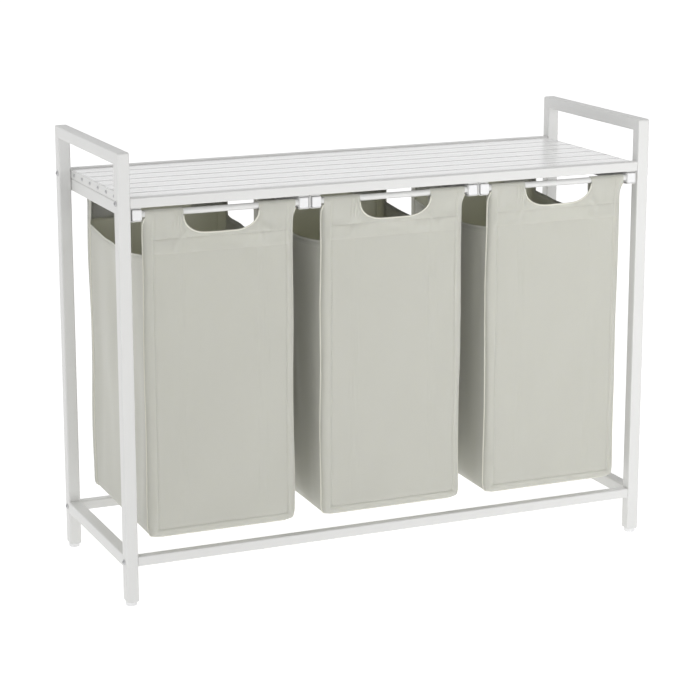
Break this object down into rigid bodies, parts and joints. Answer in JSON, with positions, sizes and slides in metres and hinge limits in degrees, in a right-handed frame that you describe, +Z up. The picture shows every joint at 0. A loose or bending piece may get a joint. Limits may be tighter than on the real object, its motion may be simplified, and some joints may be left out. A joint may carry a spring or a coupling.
{
  "type": "laundry sorter",
  "caption": "Laundry sorter: fabric bags slide out forward on channels under a slatted shelf, held between two square-tube side frames with handle bars.",
  "frame": {"origin": "on the floor, under the middle of the object", "axes": "+X along the length of the shelf, +Y towards the back, +Z up; the bags pull out towards -Y"},
  "size_m": [0.9298, 0.33, 0.72],
  "materials": {
    "powder_coat": "satin white powder coat on steel",
    "slat_paint": "gloss white painted slats",
    "white_plastic": "moulded white plastic",
    "zinc": "bright zinc plating",
    "bag_fabric": "pale grey-green woven polyester, stiff and slightly coated"
  },
  "bodies": {
    "frame": {"side_frame_left": "powder_coat", "side_frame_right": "powder_coat", "upper_rail_front": "powder_coat", "upper_rail_back": "powder_coat", "lower_rail_front": "powder_coat", "lower_rail_back": "powder_coat", "bolt_left_front_upper": "zinc", "bolt_left_front_lower": "zinc", "bolt_left_back_upper": "zinc", "bolt_left_back_lower": "zinc", "bolt_right_front_upper": "zinc", "bolt_right_front_lower": "zinc", "bolt_right_back_upper": "zinc", "bolt_right_back_lower": "zinc", "foot_left_front": "white_plastic", "foot_left_back": "white_plastic", "foot_right_front": "white_plastic", "foot_right_back": "white_plastic", "shelf_slat_1": "slat_paint", "shelf_slat_2": "slat_paint", "shelf_slat_3": "slat_paint", "shelf_slat_4": "slat_paint", "shelf_slat_5": "slat_paint", "shelf_slat_6": "slat_paint", "shelf_slat_7": "slat_paint", "shelf_end_plate_left": "powder_coat", "shelf_end_plate_right": "powder_coat", "channel_left_bag_left": "powder_coat", "channel_left_bag_right": "powder_coat", "channel_middle_bag_left": "powder_coat", "channel_middle_bag_right": "powder_coat", "channel_right_bag_left": "powder_coat", "channel_right_bag_right": "powder_coat"},
    "left_bag": {"bag_left": "bag_fabric", "bag_tube_left_front": "powder_coat", "bag_tube_left_back": "powder_coat", "block_left_front_left": "white_plastic", "block_left_front_right": "white_plastic", "block_left_back_left": "white_plastic", "block_left_back_right": "white_plastic"},
    "middle_bag": {"bag_middle": "bag_fabric", "bag_tube_middle_front": "powder_coat", "bag_tube_middle_back": "powder_coat", "block_middle_front_left": "white_plastic", "block_middle_front_right": "white_plastic", "block_middle_back_left": "white_plastic", "block_middle_back_right": "white_plastic"},
    "right_bag": {"bag_right": "bag_fabric", "bag_tube_right_front": "powder_coat", "bag_tube_right_back": "powder_coat", "block_right_front_left": "white_plastic", "block_right_front_right": "white_plastic", "block_right_back_left": "white_plastic", "block_right_back_right": "white_plastic"}
  },
  "joints": [
    {"name": "left_bag_slide", "type": "slide", "parent": "frame", "child": "left_bag", "axis": [0, -1, 0], "range_m": [0, 0.26]},
    {"name": "middle_bag_slide", "type": "slide", "parent": "frame", "child": "middle_bag", "axis": [0, -1, 0], "range_m": [0, 0.26]},
    {"name": "right_bag_slide", "type": "slide", "parent": "frame", "child": "right_bag", "axis": [0, -1, 0], "range_m": [0, 0.26]}
  ]
}
